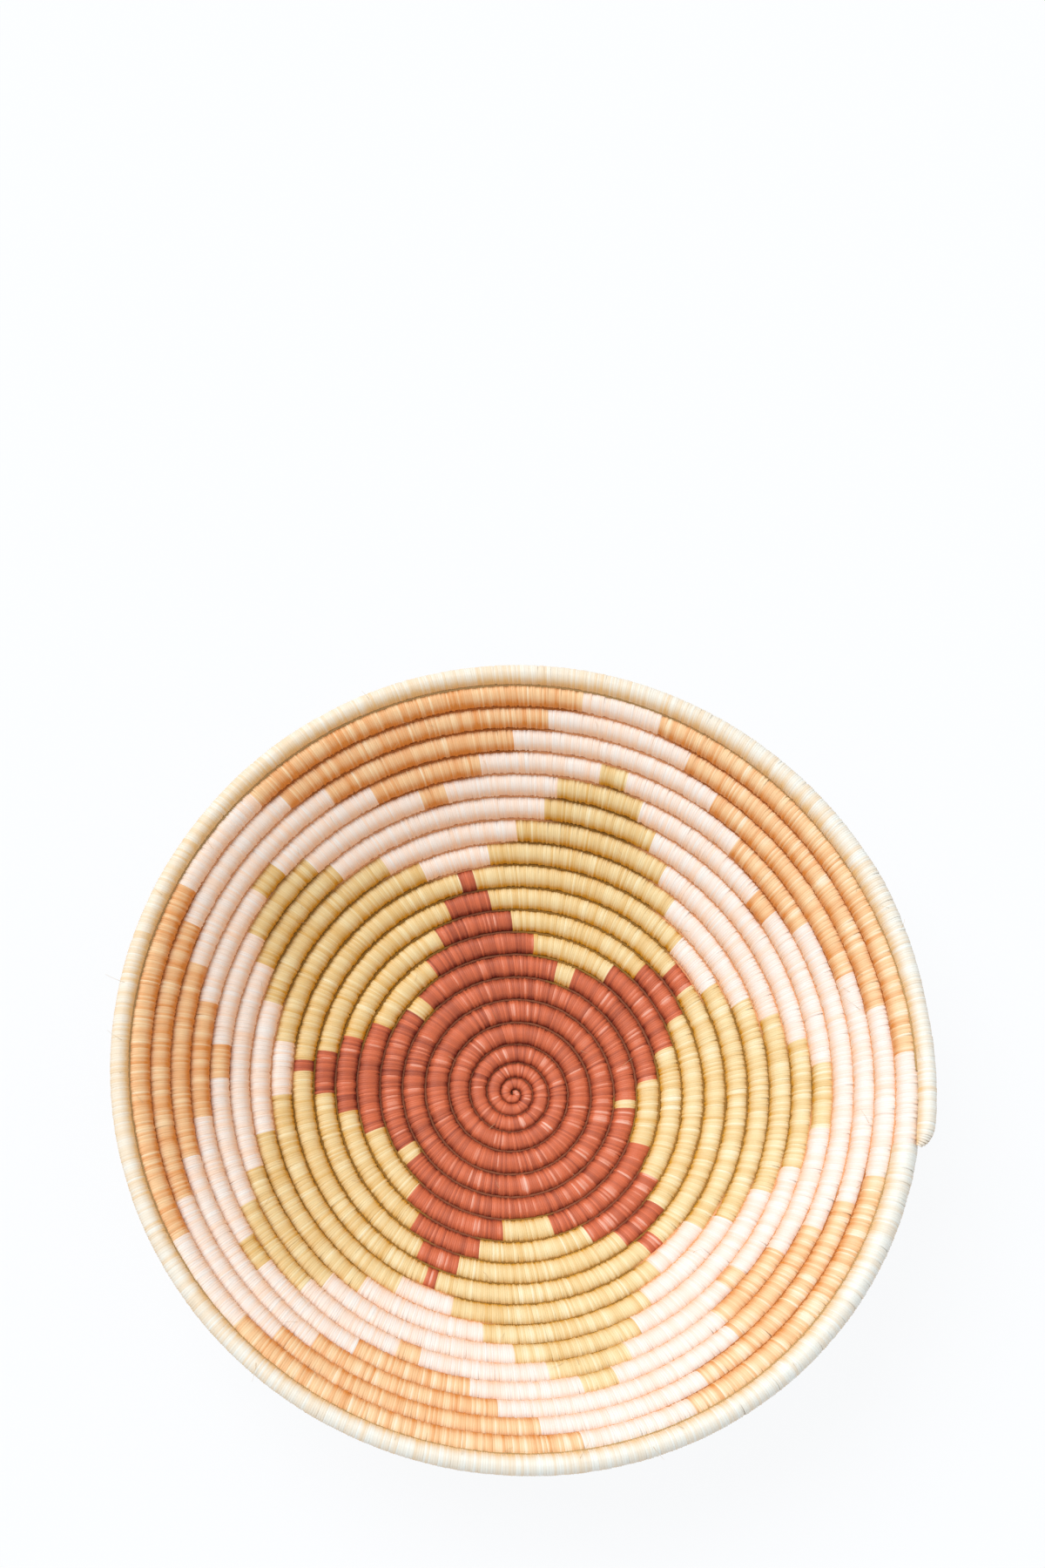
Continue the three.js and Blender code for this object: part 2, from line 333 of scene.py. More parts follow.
class CoilPath:
    """Middle line of the coil, from the middle of the base to the tail, by turns."""

    # Stretches of the coil: the turn where each starts and its turns
    LOWER_WALL = (7.8, 5.5)
    MIDDLE_WALL = (12.5, 7.3)
    WHOLE_WALL = (6, 14)
    TO_BASE = (13, -6)
    TO_RIM = (15.5, 4)
    # Turns before the tail where the rim begins, and turns that the change takes
    RIM_TURNS = 1.12
    RIM_CHANGE = 0.24
    # Shares that the curl loses of its thickness and of its way from the axis
    CURL_THINNING = 0.5
    CURL_DRAWING = 0.8
    # Squared share of the radius that the tail's end loses, and that the coil's start keeps
    TAIL_CLOSING = 0.97
    START_OPEN = 0.02
    TANGENT_STEP = 0.001
    COUNTED_POINTS = 200001

    def __init__(self, scene):
        sizes = scene.basket_coil
        self.sizes = sizes
        self.hand = scene.basket_hand
        self.turns = sizes.rounds - 1 + sizes.first_round
        self.flat_share = math.pi / 2 - 1

    def azimuth(self, turn):
        return self.sizes.tail_azimuth + (self.turns - turn) * FULL_TURN

    def curled(self, turn):
        """0 at the coil's start, 1 at the inner end of the curl in its eye."""
        return passed(turn, 0, -self.sizes.curl_turns)

    def body_radius(self, turn):
        """Radius of the even coil."""
        s = self.sizes
        swell = passed(turn, 0, s.swell_turns)
        diameter = s.start_diameter + (s.bundle_diameter - s.start_diameter) * swell
        return diameter / 2 + s.bundle_clearance + s.wrap_wall

    def coil_radius(self, turn):
        """Radius of the hand-made coil."""
        hand = self.hand
        into_rim = passed(turn, self.turns - self.RIM_TURNS, self.RIM_CHANGE)
        rim = hand.rim_share + hand.rim_play * np.cos(self.azimuth(turn) - hand.rim_azimuth)
        to_tail = np.maximum(self.turns - turn, 0)
        thinned = hand.tail_thinning * np.clip(2 - 2 * to_tail / hand.tail_turns, 0, 1)
        at_end = np.clip(1 - to_tail / hand.tail_blunting, 0, 1)
        rounded = np.sqrt(1 - self.TAIL_CLOSING * at_end ** 2)
        thin_curl = 1 - self.CURL_THINNING * self.curled(turn)
        share = thin_curl * (1 + (rim - 1) * into_rim) * (1 - thinned) * rounded
        return self.body_radius(turn) * share

    def pitch(self, turn):
        return 2 * self.body_radius(turn) + self.sizes.row_gap

    def profile_length(self, turn):
        """Way along the even bowl's wall from its axis."""
        s = self.sizes
        swelling = np.clip(turn, 0, s.swell_turns)
        start = (s.start_eye + self.body_radius(0.0)) * (1 - self.CURL_DRAWING * self.curled(turn))
        swollen = (self.pitch(0.0) + self.pitch(swelling)) / 2 * swelling
        return start + swollen + self.pitch(s.swell_turns) * np.maximum(turn - s.swell_turns, 0)

    def creep(self, turn):
        """How far a row lies up the wall from its even place, because no two rows are equally thick."""
        hand = self.hand
        lower = np.sin(passed(turn, *self.LOWER_WALL) * math.pi)
        upper = np.sin(passed(turn, *self.MIDDLE_WALL) * math.pi)
        oval = 1 + hand.creep_oval * np.cos(2 * (self.azimuth(turn) - hand.creep_azimuth))
        return hand.upper_creep * upper * oval - hand.lower_creep * lower

    def row_swelling(self, turn):
        """How much thicker the creep makes a row."""
        return self.creep(turn + 0.5) - self.creep(turn - 0.5)

    def profile(self, turn):
        """Radius, height of the coil's middle and slope of the wall."""
        s = self.sizes
        drawn_in = np.where(turn > 0, self.body_radius(turn) - self.coil_radius(turn), 0)
        length = self.profile_length(turn) - drawn_in + self.creep(turn)
        slope = np.clip((length - s.base_radius) / s.bend_radius, 0, s.wall_slope)
        level = np.minimum(length, s.base_radius)
        straight = np.maximum(length - s.base_radius - s.bend_radius * s.wall_slope, 0)
        radius = level + s.bend_radius * np.sin(slope) + straight * np.cos(slope)
        height = s.bend_radius * (1 - np.cos(slope)) + straight * np.sin(slope)
        foot = self.body_radius(turn) * (np.cos(slope) + self.flat_share * np.sin(slope))
        return radius, height + foot, slope

    def middle(self, turn):
        """The coil's middle line, with the bulge, the waves of the rim and the drift of the base."""
        hand = self.hand
        radius, height, _ = self.profile(turn)
        azimuth = self.azimuth(turn)
        low = passed(turn, *self.TO_BASE)
        halfway = np.sin(passed(turn, *self.WHOLE_WALL) * math.pi) ** 2
        waves = hand.oval * np.cos(2 * (azimuth - hand.oval_azimuth))
        waves = waves + hand.trefoil * np.cos(3 * (azimuth - hand.trefoil_azimuth))
        radius = radius + waves * passed(turn, *self.TO_RIM)
        even = np.stack([radius * np.cos(azimuth), radius * np.sin(azimuth), height], 1)
        bow = halfway * (hand.wall_bulge + hand.bulge_lean * np.cos(azimuth - hand.bulge_azimuth))
        return even - self.inner_normal(turn) * column(bow) + np.outer(low, hand.base_drift)

    def inner_normal(self, turn):
        """Square to the wall, towards the inside of the bowl."""
        slope = self.profile(turn)[2]
        azimuth = self.azimuth(turn)
        return np.stack(
            [-np.sin(slope) * np.cos(azimuth), -np.sin(slope) * np.sin(azimuth), np.cos(slope)], 1)

    def tangent(self, turn):
        ahead = self.middle(turn + self.TANGENT_STEP) - self.middle(turn - self.TANGENT_STEP)
        return ahead / np.linalg.norm(ahead, axis=1, keepdims=True)

    def round_number(self, turn):
        rounds = np.floor(turn - self.sizes.first_round) + 2
        return np.clip(rounds, 1, self.sizes.rounds).astype(int)

    def even_places(self, spacing):
        """Turns of strands that lie this far apart on the coil's outer side."""
        turn = np.linspace(-self.sizes.curl_turns, self.turns, self.COUNTED_POINTS)
        pieces = np.linalg.norm(np.diff(self.middle(turn), axis=0), axis=1)
        thickness = self.coil_radius(turn)
        crowding = 1 + thickness / np.maximum(self.profile(turn)[0], thickness)
        counted = np.concatenate([[0], np.cumsum(pieces * (crowding[1:] + crowding[:-1]) / 2)])
        number = int(counted[-1] / spacing)
        return np.interp((np.arange(number) + 0.5) * spacing, counted, turn)

    def rounded_start(self, turn):
        """Share of the coil's radius at each turn, which falls to little at the first one."""
        from_start = run_along(self.middle(turn)) / self.coil_radius(turn)
        return np.sqrt(np.maximum(1 - np.clip(1 - from_start, 0, 1) ** 2, self.START_OPEN))


def dyes_along(path, star, turn):
    """Index in DYES of the strand at each turn."""
    rounds = path.round_number(turn)
    radius = path.profile(turn)[0]
    azimuth = path.azimuth(turn)
    rust = turn <= star.rust_turns
    blush = turn >= star.blush_turns
    peach = np.zeros(len(turn), bool)
    for arm, arm_azimuth in enumerate(star.arm_azimuths):
        offset = (azimuth - math.radians(arm_azimuth) + math.pi) % FULL_TURN - math.pi
        # A row keeps the number that it has where it crosses the arm's middle
        row = path.round_number(turn + offset / FULL_TURN)
        apart = np.abs(offset - np.radians(star.arm_leans[arm]) * (row - ARM_ROUND)) * radius
        tip = star.rust_tips[arm]
        rust_half = star.rust_tip_half + star.rust_steps[arm] * (tip - row)
        rust |= (row > star.rust_turns + 1) & (row <= tip) & (apart <= rust_half)
        first_blush = math.floor(tip) + 1
        blush_half = star.blush_halves[arm] + star.blush_steps[arm] * (row - first_blush)
        blush |= (row >= first_blush) & (apart <= blush_half)
        peach_half = star.peach_halves[arm] + star.peach_steps[arm] * (row - star.peach_first)
        below_rim = (row >= star.peach_first) & (row < path.sizes.rounds)
        peach |= below_rim & (apart <= peach_half)
    dye = np.full(len(turn), DYES.index("mustard"))
    dye[rust] = DYES.index("rust")
    dye[blush] = DYES.index("blush")
    dye[peach] = DYES.index("peach")
    for end, late in STRAYED_ENDS:
        changes = np.flatnonzero(np.diff(dye))
        change = changes[np.argmin(np.abs(turn[changes] - end))]
        moved = turn[change] + late * MM / (FULL_TURN * radius[change])
        between = (turn > min(moved, turn[change])) & (turn <= max(moved, turn[change]))
        dye[between] = dye[change] if late > 0 else dye[change + 1]
    dye[rounds >= path.sizes.rounds] = DYES.index(RIM_DYE)
    return dye


class Wire:
    """A node's output. A sign between two wires, or a wire and a number, lays a math node."""

    def __init__(self, bench, socket):
        self.bench = bench
        self.socket = socket

    def out(self, name):
        """Another output of the same node."""
        return Wire(self.bench, self.socket.node.outputs[name])

    def sign(self, operation, *others):
        return self.bench.math(operation, self, *others)

    def sign_after(self, operation, other):
        """The same with the other value first."""
        return self.bench.math(operation, other, self)

    scaled = partialmethod(sign, "MULTIPLY_ADD")
    __add__ = partialmethod(sign, "ADD")
    __sub__ = partialmethod(sign, "SUBTRACT")
    __mul__ = partialmethod(sign, "MULTIPLY")
    __truediv__ = partialmethod(sign, "DIVIDE")
    __mod__ = partialmethod(sign, "MODULO")
    __pow__ = partialmethod(sign, "POWER")
    __abs__ = partialmethod(sign, "ABSOLUTE")
    __rsub__ = partialmethod(sign_after, "SUBTRACT")
    __rtruediv__ = partialmethod(sign_after, "DIVIDE")


class Bench:
    """Lays nodes in a tree and joins them. Values go to a node's open sockets in order."""

    NODE_SPACING = 180

    def __init__(self, tree):
        self.tree = tree

    def fill(self, socket, value):
        """Joins a wire or sets a plain value. None leaves the socket as it is."""
        if isinstance(value, Wire):
            self.tree.links.new(value.socket, socket)
        elif value is not None:
            socket.default_value = value

    def put(self, kind, *values, **settings):
        node = self.tree.nodes.new(kind)
        for name, value in settings.items():
            setattr(node, name, value)
        node.location = (self.NODE_SPACING * len(self.tree.nodes), 0)
        open_sockets = [socket for socket in node.inputs if socket.enabled]
        for socket, value in zip(open_sockets, values):
            self.fill(socket, value)
        shown = [socket for socket in node.outputs if socket.enabled]
        return Wire(self, shown[0]) if shown else None

    def put_named(self, kind, values):
        """Lays a node whose values are given by the names of its sockets."""
        wire = self.put(kind)
        for name, value in values.items():
            self.fill(wire.socket.node.inputs[name], value)
        return wire

    def math(self, operation, *values):
        return self.put("ShaderNodeMath", *values, operation=operation)

    def vector(self, operation, *values):
        return self.put("ShaderNodeVectorMath", *values, operation=operation)

    def xyz(self, *values):
        return self.put("ShaderNodeCombineXYZ", *values)

    def parts(self, vector):
        x = self.put("ShaderNodeSeparateXYZ", vector)
        return x, x.out("Y"), x.out("Z")

    def ramp(self, value, start, stop, low, high, **settings):
        """Takes start to stop of the value to low to high."""
        return self.put("ShaderNodeMapRange", value, start, stop, low, high, **settings)

    def mix(self, share, first, second, **settings):
        """A colour between two, which are wires or plain colours."""
        colours = [each if isinstance(each, Wire) else (*each, 1.0) for each in (first, second)]
        return self.put("ShaderNodeMix", share, *colours, data_type="RGBA", **settings)

    def attribute(self, name, output):
        return self.put("ShaderNodeAttribute", attribute_name=name).out(output)

    def object_place(self):
        return self.put("ShaderNodeTexCoord").out("Object")

    def bump(self, height, strength, depth):
        values = {"Strength": strength, "Distance": depth, "Height": height}
        return self.put_named("ShaderNodeBump", values)

    def seen_rays(self):
        """1 for rays that show the background, 0 for those that light the object."""
        camera_ray = self.put("ShaderNodeLightPath")
        seen = self.math("MAXIMUM", camera_ray, camera_ray.out("Is Glossy Ray"))
        return self.math("MAXIMUM", seen, camera_ray.out("Is Transmission Ray"))


class GeometryBench(Bench):
    """A Geometry Nodes tree with named inputs: whole numbers, other numbers and materials."""

    KINDS = {int: "NodeSocketInt", float: "NodeSocketFloat", bpy.types.Material: "NodeSocketMaterial"}

    def __init__(self, name, inputs):
        super().__init__(bpy.data.node_groups.new(name, "GeometryNodeTree"))
        new_socket = self.tree.interface.new_socket
        new_socket("Places", in_out="INPUT", socket_type="NodeSocketGeometry")
        for title, value in inputs.items():
            new_socket(title, in_out="INPUT", socket_type=self.KINDS[type(value)])
        new_socket("Piece", in_out="OUTPUT", socket_type="NodeSocketGeometry")
        self.values = inputs
        self.source = self.tree.nodes.new("NodeGroupInput")

    def given(self, title):
        return Wire(self, self.source.outputs[title])

    def position(self):
        return self.put("GeometryNodeInputPosition")

    def read(self, name, kind="FLOAT"):
        return self.put("GeometryNodeInputNamedAttribute", name, data_type=kind)

    def store(self, geometry, name, value, kind="FLOAT", domain="POINT"):
        return self.put(
            "GeometryNodeStoreNamedAttribute", geometry, None, name, value, data_type=kind, domain=domain)

    def drop(self, geometry, *names):
        for name in names:
            geometry = self.put("GeometryNodeRemoveAttribute", geometry, name)
        return geometry

    def draw(self, low, high, number):
        """A random value for each place, apart from the draws of other numbers."""
        seed = self.given("Seed") + float(number)
        return self.put("FunctionNodeRandomValue", low, high, None, seed, data_type="FLOAT")

    def move(self, geometry, place):
        return self.put("GeometryNodeSetPosition", geometry, None, place)

    def finish(self, geometry):
        realized = self.put("GeometryNodeRealizeInstances", geometry)
        painted = self.put("GeometryNodeSetMaterial", realized, None, self.given("Finish"))
        self.put("NodeGroupOutput", painted)

    def make(self, obj):
        """Runs the tree on the object and leaves the result as its plain mesh."""
        modifier = obj.modifiers.new(self.tree.name, "NODES")
        modifier.node_group = self.tree
        for item in self.tree.interface.items_tree:
            if item.in_out == "INPUT" and item.name in self.values:
                modifier[item.identifier] = self.values[item.name]
        bpy.context.view_layer.update()
        depsgraph = bpy.context.evaluated_depsgraph_get()
        made = bpy.data.meshes.new_from_object(
            obj.evaluated_get(depsgraph), preserve_all_data_layers=True, depsgraph=depsgraph)
        if not made.polygons:
            raise RuntimeError(obj.name + " came out empty")
        layout = obj.data
        obj.modifiers.remove(modifier)
        obj.data = made
        made.name = obj.name
        bpy.data.meshes.remove(layout)


# A strand's section: first edge, crest, second edge and the first edge again, half a width apart
SECTION_POINTS = 4
SECTION_LENGTH = 1.5
CREST = 1 / 3
CREST_REACH = 0.1
MERGE_DISTANCE = 0.0005
# Tone of a single strand, then pace, detail and weight of slow changes
SINGLE_TONE = (0.22, 0.315)
SLOW_TONES = ((0.31, 2.0, 0.09), (0.07, 1.0, 0.06))
# Noise keeps near one half, so it is stretched to about 0 to 1
NOISE_STRETCH = (3.4, -1.2)
# Bare shares at the sides and ends of a strand's field on the map
MAP_SIDE = 0.08
MAP_END = 0.01
FOLD = math.radians(105)


def strand_ring(bench):
    """A strip rolled into a closed ring with a ridge, 1 wide and of radius 1."""
    strip = bench.put("GeometryNodeMeshGrid", 1.0, 1.0, bench.given("Steps") + 1.0, SECTION_POINTS)
    strip = bench.store(strip, STRAND_SHEET, strip.out("UV Map"), "FLOAT2", "CORNER")
    x, y, _ = bench.parts(bench.position())
    section = y + 0.5
    angle = (x + 0.5) * FULL_TURN
    cosine = bench.math("COSINE", angle)
    sine = bench.math("SINE", angle)
    pressing = bench.given("Pressing")
    bulge = (abs(cosine) ** pressing + abs(sine) ** pressing) ** (-1.0 / pressing)
    sunk = 1.0 - bench.math("COMPARE", section, CREST, CREST_REACH)
    reach = bulge * (1.0 - sunk * bench.given("Ridge"))
    across = section * SECTION_LENGTH % SECTION_LENGTH - 0.5
    strip = bench.store(strip, STRAND_FACING, bench.xyz(cosine, sine, across * 2.0), "FLOAT_VECTOR")
    ring = bench.move(strip, bench.xyz(cosine * reach, sine * reach, across))
    return bench.put("GeometryNodeMergeByDistance", ring, None, MERGE_DISTANCE)


def toned_places(bench):
    """The places of the strands, with each one's number, tone, own draw and notch."""
    number = bench.put("GeometryNodeInputIndex")
    shade = bench.draw(0.0, 1.0, 0).scaled(*SINGLE_TONE)
    for pace, detail, weight in SLOW_TONES:
        slow = bench.put("ShaderNodeTexNoise", number * pace, 1.0, detail, noise_dimensions="1D")
        shade = slow.scaled(*NOISE_STRETCH).scaled(weight, shade)
    notched = bench.math("LESS_THAN", bench.draw(0.0, bench.given("Stitch"), 6), 1.0)
    places = bench.store(bench.given("Places"), STRAND_NUMBER, number)
    places = bench.store(places, STRAND_SHADE, shade)
    places = bench.store(places, STRAND_DRAW, bench.draw(0.0, 1.0, 1))
    return bench.store(places, STRAND_NOTCH, notched)


def wound_rings(bench, places, ring):
    """A ring at every place, leaned, lifted and widened by its own draws, and none below the floor."""
    upright = bench.put(
        "FunctionNodeAxesToRotation", bench.read(PLACE_TANGENT, "FLOAT_VECTOR"),
        bench.read(PLACE_NORMAL, "FLOAT_VECTOR"), primary_axis="Z", secondary_axis="X")
    lean = bench.given("Slant") + bench.draw(-1.0, 1.0, 2) * bench.given("Slant play")
    sideways = bench.draw(-0.5, 0.5, 3) * bench.given("Slant play")
    turned = bench.put("FunctionNodeEulerToRotation", bench.xyz(lean, sideways, 0.0))
    leaned = bench.put("FunctionNodeRotateRotation", upright, turned, rotation_space="LOCAL")
    lumps = bench.put("ShaderNodeTexNoise", bench.position(), bench.given("Lump scale"), 1.0)
    lump = (lumps - 0.5) * bench.given("Lumps")
    lift = bench.draw(-1.0, 1.0, 4) * bench.given("Lift play")
    radius = bench.read(PLACE_RADIUS) * (lump + lift + 1.0)
    width = bench.given("Width") * (bench.draw(-1.0, 1.0, 5) * bench.given("Width play") + 1.0)
    reaching = 1.0 - bench.read(STRAND_NOTCH)
    across_groove = reaching.scaled(bench.given("Stitch reach"), 1.0)
    wound = bench.put(
        "GeometryNodeInstanceOnPoints", places, None, ring, None, None, leaned,
        bench.xyz(radius, radius * across_groove, width))
    wound = bench.put("GeometryNodeRealizeInstances", wound)
    x, y, z = bench.parts(bench.position())
    return bench.move(wound, bench.xyz(x, y, bench.math("MAXIMUM", z, 0.0)))


def mapped(bench, wound):
    """Lays the strands side by side on the map that finishes are baked to."""
    columns = bench.given("Map columns")
    number = bench.read(STRAND_NUMBER)
    along, across, _ = bench.parts(bench.read(STRAND_SHEET, "FLOAT_VECTOR"))
    wide = across.scaled(1 - 2 * MAP_SIDE, MAP_SIDE)
    high = along.scaled(1 - 2 * MAP_END, MAP_END)
    row = bench.math("FLOOR", number / columns)
    place = bench.xyz((number % columns + wide) / columns, (row + high) / bench.given("Map rows"), 0.0)
    return bench.store(wound, BAKE_MAP, place, "FLOAT2", "CORNER")


def strand_tree(inputs):
    """Winds a ring at every place, with smooth sides and sharp edges."""
    bench = GeometryBench("wound_strands", inputs)
    wound = mapped(bench, wound_rings(bench, toned_places(bench), strand_ring(bench)))
    wound = bench.drop(wound, STRAND_SHEET, STRAND_NUMBER, PLACE_TANGENT, PLACE_NORMAL, PLACE_RADIUS)
    folded = bench.math("GREATER_THAN", bench.put("GeometryNodeInputMeshEdgeAngle"), FOLD)
    wound = bench.put("GeometryNodeSetShadeSmooth", wound, None, True, domain="FACE")
    bench.finish(bench.put("GeometryNodeSetShadeSmooth", wound, folded, False, domain="EDGE"))
    return bench


def tube_tree(title, sides, finish):
    """A round tube along a line of points, with closed ends."""
    bench = GeometryBench(title, {"Sides": sides, "Finish": finish})
    line = bench.put("GeometryNodeMeshToCurve", bench.given("Places"))
    hoop = bench.put("GeometryNodeCurvePrimitiveCircle", bench.given("Sides"))
    tube = bench.put("GeometryNodeCurveToMesh", line, hoop, bench.read(PLACE_RADIUS), True)
    bench.finish(bench.put("GeometryNodeSetShadeSmooth", tube, None, True, domain="FACE"))
    return bench


def laid_out(name, points, edges, attributes):
    """A new object of bare points or lines that carry attributes."""
    mesh = bpy.data.meshes.new(name + "_layout")
    mesh.from_pydata(points.tolist(), edges, [])
    for title, values in attributes.items():
        kind, field = ("FLOAT_VECTOR", "vector") if values.ndim == 2 else ("FLOAT", "value")
        layer = mesh.attributes.new(title, kind, "POINT")
        layer.data.foreach_set(field, values.astype(np.float32).ravel())
    obj = bpy.data.objects.new(name, mesh)
    bpy.context.scene.collection.objects.link(obj)
    return obj


def chain(count, start=0):
    """Edges that join points in a line."""
    return [(start + i, start + i + 1) for i in range(count - 1)]


def shares_of(colour, share):
    return tuple(channel * share for channel in colour)


# Noise settings: scale, detail and roughness. Past 1, roughness makes the finest grain the strongest
FIBRE_GRAIN = (5.0, 2.4, 3.0)
STEM_GRAIN = (5.0, 15.0, 3.0)
END_GRAIN = (5.0, 15.0, 1.0)
# Stretch of the fibre pattern round and across a strand, and how far strands differ in it
FIBRE_STRETCH = (1.3, 1.3, 2.2)
FIBRE_SPREAD = 90.0
FIBRE_TONES = (0.6, -0.3)
FIBRE_GLOSS = (0.3, 0.38)
FIBRE_BUMP = (0.35, 0.08 * MM)
# Tones run from 0, a dye's deep tone, to 1, its pale one. Past 1, which painted highlight and pale streaks
# together reach, the colour goes towards the bare strand
# Tone that the painted highlight adds on a row's upward-facing side
PAINTED_HIGHLIGHT_TONE = 0.8
TONE_RANGE = (-0.2, 1.5)
BARE_AND_HIGHLIGHT_RAMP = (1.0, 1.4, 0.0, 0.5)
# A strand's edges are shaded a little all round, and more in a notch
EDGE_POWER = 3.0
EDGE_SHADE = 0.28
NOTCH_RAMP = (-0.8, -0.98, 0.0, 0.75)
STEM_DARK = 0.6
STEM_BUMP = (0.5, 0.2 * MM)
END_RAMP = (0.35, 0.65, 0.7, 1.1)
END_ROUGHNESS = 0.9


def new_finish(name):
    """An empty material and the bench for its nodes."""
    finish = bpy.data.materials.new(name)
    finish.use_nodes = True
    finish.node_tree.nodes.clear()
    return finish, Bench(finish.node_tree)


def surfaced(bench, values):
    """Ends the tree in a surface with these values."""
    bench.put("ShaderNodeOutputMaterial", bench.put_named("ShaderNodeBsdfPrincipled", values))


def sisal_finish(name, dye, bare, painted_lit_start, painted_sidelight):
    """Silky streaked strands, with painted highlight on each row's upper side and on the window side of the
    bowl.
    """
    finish, bench = new_finish(name)
    # Painted highlight: paler towards the side of each row that faces up, tilted by the dye's lean
    facing = bench.attribute(STRAND_FACING, "Vector")
    tilt = bench.attribute(STRAND_TILT, "Fac") * dye.lean
    uphill = bench.xyz(bench.math("COSINE", tilt), bench.math("SINE", tilt) * -1.0, 0.0)
    upper = bench.vector("DOT_PRODUCT", facing, uphill)
    painted_lit = bench.ramp(upper, painted_lit_start, 1.0, 0.0, PAINTED_HIGHLIGHT_TONE, interpolation_type="SMOOTHSTEP")
    own_place = bench.xyz(0.0, 0.0, bench.attribute(STRAND_DRAW, "Fac") * FIBRE_SPREAD)
    fibre_place = bench.vector("ADD", bench.vector("MULTIPLY", facing, FIBRE_STRETCH), own_place)
    fibres = bench.put("ShaderNodeTexNoise", fibre_place, *FIBRE_GRAIN)
    streak = (bench.attribute(STRAND_SHADE, "Fac") - 0.5) * dye.streaks
    # Painted highlight: paler towards the side of the bowl that the window light falls on
    brightened = bench.vector("DOT_PRODUCT", bench.object_place(), painted_sidelight)
    tone = painted_lit + brightened + streak + fibres.scaled(*FIBRE_TONES)
    tone = bench.put("ShaderNodeClamp", tone, *TONE_RANGE)
    dyed = bench.mix(tone, dye.deep, dye.pale, clamp_factor=False, clamp_result=True)
    # Painted highlight and pale streaks: tones past 1 go towards the bare strand's colour
    dyed = bench.mix(bench.ramp(tone, *BARE_AND_HIGHLIGHT_RAMP), dyed, bare)
    _, side, across = bench.parts(facing)
    edge = abs(across) ** EDGE_POWER
    notch = bench.ramp(side, *NOTCH_RAMP) * edge * bench.attribute(STRAND_NOTCH, "Fac")
    shaded = bench.math("MAXIMUM", notch, edge * EDGE_SHADE)
    surfaced(bench, {
        "Base Color": bench.mix(shaded, dyed, dye.groove),
        "Roughness": fibres.scaled(*FIBRE_GLOSS),
        "Normal": bench.bump(fibres, *FIBRE_BUMP),
    })
    return finish


def stem_finish(name, colour, roughness):
    """Dry stems and loose fibres: streaked and dull."""
    finish, bench = new_finish(name)
    streaks = bench.put("ShaderNodeTexNoise", bench.object_place(), *STEM_GRAIN)
    surfaced(bench, {
        "Base Color": bench.mix(streaks, shares_of(colour, STEM_DARK), colour),
        "Normal": bench.bump(streaks, *STEM_BUMP),
        "Roughness": roughness,
    })
    return finish


def stitch_finish(name):
    """Strand ends between two rows, in the shaded tone of the row's own dye."""
    finish, bench = new_finish(name)
    tint = bench.attribute(STITCH_TINT, "Vector")
    ends = bench.put("ShaderNodeTexNoise", bench.object_place(), *END_GRAIN)
    surfaced(bench, {
        "Base Color": bench.vector("SCALE", tint, bench.ramp(ends, *END_RAMP)),
        "Roughness": END_ROUGHNESS,
        "Specular IOR Level": 0.0,
    })
    return finish


def kept(obj, nodes):
    """Rides the piece on the basket and hides the CAD nodes that it stands for."""
    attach(obj, BODY)
    if nodes:
        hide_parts(*nodes)


# Points of a spiral line in each round
ROUND_POINTS = 72


class BASKET_OT_grass_bundle(bpy.types.Operator):
    """Lay the unbroken spiral of dry grass under the strands"""

    bl_idname = "basket.grass_bundle"
    bl_label = "Grass Bundle"

    FIRST_TURN = 0.02
    TAIL_GAP = 0.002
    RADIUS_SHARE = 0.91
    SIDES = 10
    ROUGHNESS = 0.8

    def execute(self, context):
        scene = context.scene
        path = CoilPath(scene)
        number = ROUND_POINTS * scene.basket_coil.rounds
        turn = np.linspace(self.FIRST_TURN, path.turns - self.TAIL_GAP, number)
        thickness = path.coil_radius(turn) * path.rounded_start(turn) * self.RADIUS_SHARE
        obj = laid_out("grass_bundle_stems", path.middle(turn), chain(number), {PLACE_RADIUS: thickness})
        finish = stem_finish("dry_grass", scene.basket_wear.grass, self.ROUGHNESS)
        tube_tree("stem_bundle", self.SIDES, finish).make(obj)
        kept(obj, ["grass_bundle"])
        return {"FINISHED"}


